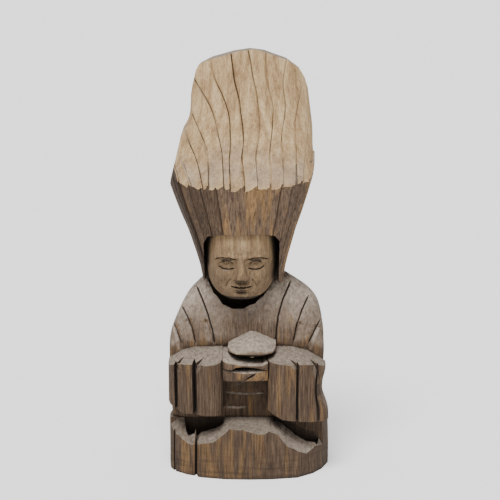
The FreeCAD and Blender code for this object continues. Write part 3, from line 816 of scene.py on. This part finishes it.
lap = {
    "tall": 38,
    "plan": [(0, -43), (16, -42), (34, -38.4), (45.5, -28), (52, -17), (57, -1), (54, 17),
             (47, 28), (36, 36), (14, 42.5), (-14, 42.5), (-34, 35), (-45, 27), (-54, 14),
             (-57, -5), (-56.4, -14), (-53.8, -20.8), (-53, -19.4), (-52.3, -23.3), (-44, -31),
             (-38.8, -33.5), (-37.6, -29.5), (-36.4, -36.3), (-33, -38), (-17, -42)],
    # each row: x, height of the facet at 40 mm and at 15 mm in front of the axis
    "rightFacets": [(-64, 3, 28), (-56, 8, 33), (-51, 11.8, 36.8), (-43, 14.2, 39.2),
                    (-38.6, 17.9, 40.4), (-37.4, 20.7, 32.4), (-34, 23.9, 35.6),
                    (-15, 36.4, 41.4), (-14, 41, 42)],
    "leftFacets": [(14.6, 40, 42), (16, 35, 42.5), (25, 26, 37.3), (26, 24.2, 36.7),
                   (40.5, 10.7, 28.2), (46.5, 9.8, 27.3), (56, 3, 13), (64, 1, 11)],
    "middleFacets": [(-14.6, 37, 38.4), (-12, 36.6, 38.4), (6.5, 33.6, 38.4), (9, 33.6, 38.4),
                     (13.5, 35.2, 38.4), (15.6, 35, 38.4)],
    "cracks": [      # the black undercut behind the facets: x, floor height
        [(-47, 41), (-45, 30), (-43, 27), (-38, 24), (-30, 26), (-19, 34), (-17, 40)],
        [(17, 40), (19, 32), (25, 24), (33, 20), (44, 18), (49, 20), (50.5, 27)]],
    "crackFronts": (-26.5, -23),
}


def makeLapBlock(material):
    plan = lap["plan"]

    def placePoint(column, rise):
        x, y = plan[column]
        height = rise * lap["tall"]
        if 0.01 < rise < 0.99:
            x += wobble((x, y, height), 24, 0.6)
            y += wobble((x, y + 50, height), 24, 0.6)
        return x, y, height

    piece = ringBlock("lapCarved", len(plan), 12, placePoint)
    for name in ("rightFacets", "leftFacets", "middleFacets"):
        # a block over the facets, whose underside runs through both heights of each row
        rows = lap[name]
        ends = [(rows[-1][0], 60), (rows[0][0], 60)]
        near = [(x, front - (back - front) * 22 / 25) for x, front, back in rows]
        far = [(x, back) for x, front, back in rows]
        combine(piece, prism(name, near + ends, -62, -15, farOutline=far + ends), "DIFFERENCE")
    for crack, front in zip(lap["cracks"], lap["crackFronts"]):
        outline = crack + [(crack[-1][0], 60), (crack[0][0], 60)]
        combine(piece, prism("crack", outline, front, -15), "DIFFERENCE")
    finishPiece(piece, "lap_block", material, edge=0.35)
    paint(piece, "sawn", lambda point, normal: max(0, min(0.6, (26 - point.z) / 26)))
    paint(piece, "streakAndShade", lambda point, normal: 0.45 - 0.9 * max(0, point.x) / 57)
    paint(piece, "dark", lambda point, normal: 0.5 - 0.3 * max(0, point.x) / 57)
    # painted shade in the undercut cracks behind the facets
    paint(piece, "paintedShade", lambda point, normal: 0.75 if 17 < point.z < 37.9
          and -26.4 < point.y < -14.9 and (-46 < point.x < -17.5 or 18 < point.x < 47) else 0.0)


# ---------- hands and offering

hands = {
    "upperLevels": (78.6, 93),
    "lowerLevels": (70, 78.4),
    "upperCuts": [((0, -17, 90.4), (0.0, -0.36, 1)), ((-17, -34, 85.6), (-0.35, -0.6, 1)),
                  ((0, -38.4, 80.4), (0.03, -1, -0.55))],
    "lowerCuts": [((-5, -37, 76.4), (-0.04, -0.75, 1)), ((-5, -37, 72.4), (0.12, -1, -0.5))],
    "upperPlan": [(-18.8, -16), (-18.8, -34), (-15, -37), (-6, -39.2), (5, -39.4), (11, -38.2),
                  (13, -36.5), (13, -16)],
    "lowerPlan": [(-18.8, -16), (-18.8, -33.6), (-14, -35.8), (-4, -37.6), (6, -37.4),
                  (13, -35.4), (13, -16)],
    "lip": [(-12, 90), (-11, 86.0), (-8, 85.2), (-4.6, 83.4), (-1, 82.3), (9.4, 82.1),
            (11.4, 83.6), (13.4, 85.6), (14, 90)],
    "lens": [(-15.4, 78.2), (-9, 79.3), (-4, 79.7), (3, 79.1), (8, 78.2), (12.8, 77.4)],
    "thumb": [(-4.4, 69.6), (-1, 72.2), (2.6, 74.6), (6.4, 77.2)],
    "thumbFacet": [(-2.2, 69.2), (2.2, 71.8), (7.2, 75), (12.4, 78)],
}


def makeHands(material):
    upper = prism("rightHandCarved", hands["upperPlan"], *hands["upperLevels"], axis="Z")
    lipNear = [(x, z if z > 89 else z - 4.6) for x, z in hands["lip"]]
    lipFar = [(x, z if z > 89 else z + 3.4) for x, z in hands["lip"]]
    combine(upper, prism("lip", lipNear, -60, -22, farOutline=lipFar), "DIFFERENCE")
    for point, normal in hands["upperCuts"]:
        cutOff(upper, point, normal)
    lens = [((x, -39.6, z), (0, -1, 0)) for x, z in hands["lens"]]
    knifeLine(upper, lens, 3.4, 7, lift=0.4, ends=(0.05, 0.05))
    finishPiece(upper, "right_hand", material, edge=0.3, dustAndLitTop=0.05)

    lower = prism("leftHandCarved", hands["lowerPlan"], *hands["lowerLevels"], axis="Z")
    for point, normal in hands["lowerCuts"]:
        cutOff(lower, point, normal)
    thumb = [((x, -38.4, z), (0, -1, 0)) for x, z in hands["thumb"]]
    knifeLine(lower, thumb, 2.0, 4.6, lift=0.4, ends=(0.6, 0.2))
    facet = [((x, -38.2, z), (-0.3, -1, 0.45)) for x, z in hands["thumbFacet"]]
    knifeLine(lower, facet, 4.2, 2.0, lift=0.6, ends=(0.5, 0.5))
    finishPiece(lower, "left_hand", material, edge=0.3, dustAndLitTop=0.05)
    paint(lower, "streakAndShade", lambda point, normal: 1.0 if point.x > 3.5 else -0.3)
    paint(upper, "streakAndShade", lambda point, normal: -0.25)
    for piece in (upper, lower):
        # painted shade on the faces of both hands that look down
        paint(piece, "paintedShade", lambda point, normal: 0.9 if normal.z < -0.8 else 0.0)


offering = {
    "levels": (86.8, 90, 104),    # foot, rim, and above the highest point
    "footShare": 0.64,            # size of the foot against the rim
    "rim": [(-14.6, -17), (-15.2, -25), (-13.4, -32), (-9.4, -37.2), (0, -38.6), (6, -39),
            (12.2, -37.4), (16.4, -33.4), (18.6, -27), (18.8, -17)],
    "apex": (2.2, -19, 102.6),
    "edges": [(-15.4, -19, 93.8), (-13.6, -32, 91.2), (-9, -37.2, 90.6), (5.4, -39, 93.6),
              (15, -34.6, 91.4), (18.8, -25, 94.2), (18.8, -18, 95.6)],
}


def makeOffering(material):
    rim = offering["rim"]
    low, level, high = offering["levels"]
    share = offering["footShare"]
    foot = [(2 + (x - 2) * share, -18 + (y + 18) * share) for x, y in rim]
    piece = prism("offeringCarved", foot, low, level, axis="Z", farOutline=rim)
    combine(piece, prism("offeringTop", rim, level - 0.01, high, axis="Z"), "UNION")
    apex = Vector(offering["apex"])
    for first, second in zip(offering["edges"], offering["edges"][1:]):
        cutOff(piece, apex, (Vector(first) - apex).cross(Vector(second) - apex).normalized())
    cutOff(piece, apex, (0.05, 0.3, 1))
    finishPiece(piece, "held_offering", material, edge=0.35, dustAndLitTop=0.35)
    # painted shade under the offering and round its foot
    paint(piece, "paintedShade", lambda point, normal: 0.9 if normal.z < -0.3 or point.z < 89.5 else 0.0)


# ---------- head

head = {
    "middle": -5.5,
    "foot": 127,
    "tall": 48.5,
    "neckTop": 138.2,         # below this the block stops at the front of the neck
    "neckBack": -9.5,
    "squareness": 2.7,
    "spread": 0.92,           # how far round the side the columns of the face reach
    "facets": 0.30,           # share of the faces kept, which leaves knife facets
    "outline": [     # height, half width, front, back
        (127, 12.5, -25.5, -11), (129.5, 16.6, -29.6, -10), (134, 20.6, -32.2, 12),
        (142.7, 24.2, -33.8, 12), (153, 25.6, -34.6, 12), (160, 25.8, -35.8, 12),
        (168, 25.6, -36.8, 12), (175.5, 25.0, -37.2, 12)],
    # soft swellings and hollows: across, height, half width, half height, proud of the block;
    # the ones off the middle are on both sides
    "forms": [(0, 167, 20, 9, 1.0), (10, 159.0, 11, 2.6, 1.8), (10.2, 152.8, 8.6, 5.4, -4.6),
              (10.2, 152.4, 6.4, 3.6, 3.6), (2.6, 155.5, 3, 4, -1.0), (14.5, 146.4, 8, 5.6, 1.8),
              (0, 138.6, 9.5, 3.4, 1.0), (3, 139.0, 5.4, 1.7, 1.2), (0, 136.0, 6.6, 1.9, 2.0),
              (0, 133.4, 8, 1.5, -1.5), (0, 130.6, 8.5, 3.0, 2.0), (11, 140, 4, 6, -0.7)],
    "nose": [        # height, half width, proud
        (141.8, 5.0, 0), (142.8, 6.0, 4.6), (144.6, 5.6, 6.4), (147, 4.4, 5.6), (152, 3.2, 3.6),
        (157, 2.9, 2.0), (160.5, 3.2, 0.6)],
    "brow": [(3.4, 156.9), (8, 158.6), (13.5, 158.6), (19, 156.4)],
    "lashes": [(4.6, 151.2), (7.4, 150.2), (10.4, 149.9), (13.4, 150.5), (16, 152.2)],
    "crease": [(5.4, 154.2), (8, 155.5), (11, 155.8), (15, 154.2)],
    "mouth": [(-7.6, 137.9), (-4, 137.3), (-1.4, 137.0), (0, 137.3), (1.4, 137.0), (4, 137.3),
              (7.6, 137.9)],
    "cheekFold": [(7.2, 143.6), (9.6, 140.6), (10.8, 137.4)],
}


def facePush(across, height):
    # how far the face stands proud of the plain block
    push = 0
    for middle, level, wide, tall, proud in head["forms"]:
        away = ((abs(across) - middle) / wide) ** 2 + ((height - level) / tall) ** 2
        if away < 1:
            push += proud * (1 - away) ** 2
    if head["nose"][0][0] < height < head["nose"][-1][0]:
        wide, proud = smoothRow(head["nose"], height)
        share = min(max((1.15 - abs(across) / wide) / 0.8, 0), 1)
        push += proud * share ** 1.3
    return push


def makeHead(material):
    middle = head["middle"]
    half = 32                      # columns from the middle of the face to its side
    columns = 2 * half + 4
    square = head["squareness"]

    def placePoint(column, rise):
        height = head["foot"] + rise * head["tall"]
        wide, front, back = smoothRow(head["outline"], height)
        back = head["neckBack"] if height < head["neckTop"] else back
        step = column if column <= half else column - columns
        if abs(step) > half:
            return middle + (0.5 if step > 0 else -0.5) * wide, back, height
        spread = head["spread"]
        share = math.sin(step / half * math.pi / 2 * spread) / math.sin(math.pi / 2 * spread)
        y = front * max(1 - abs(share) ** square, 0) ** (1 / square)
        y = min(y, back if abs(step) == half else 99)
        y = y - facePush(share * wide, height) if abs(step) < half else back
        return middle + share * wide, y, height

    piece = ringBlock("headCarved", columns, 70, placePoint)
    coarse = piece.modifiers.new("Knife facets", "DECIMATE")
    coarse.ratio = head["facets"]
    makeActive(piece)
    bpy.ops.object.modifier_apply(modifier=coarse.name)
    lines = [(head["mouth"], 1.1, 2.4)]
    for side in (-1, 1):
        for name, width, depth in (("brow", 1.5, 1.2), ("lashes", 1.1, 1.6), ("crease", 0.8, 0.8),
                                   ("cheekFold", 1.6, 0.8)):
            lines.append(([(side * x, z) for x, z in head[name]], width, depth))
    for line, width, depth in lines:
        path = onSurface(piece, [(middle + x, z) for x, z in line], (0, 1, 0), steps=3)
        knifeLine(piece, path, width, depth)
    finishPiece(piece, "head_block", material, edge=0.15, angle=20, dustAndLitTop=-0.55)
    paint(piece, "streakAndShade", lambda point, normal: -0.3)
    # paler towards the forehead: bare wood tone and painted top light
    paint(piece, "bareAndLitTop", lambda point, normal: 0.2 + 0.35 * max(0, min(1, (point.z - 150) / 20)))
    # painted shade on the faces that look down, under chin, nose and brows
    paint(piece, "paintedShade", lambda point, normal: 0.9 if normal.z < -0.75 else 0.0)


def main():
    setStage()
    wood = stainedWood()
    makeLapBlock(wood)
    makeTorso(wood)
    for node in sleeves:
        makeSleeve(node, wood)
    makeHands(wood)
    makeOffering(wood)
    makeHead(wood)
    makeHeadDress(wood)
    dressDowels(dowelWood())


main()
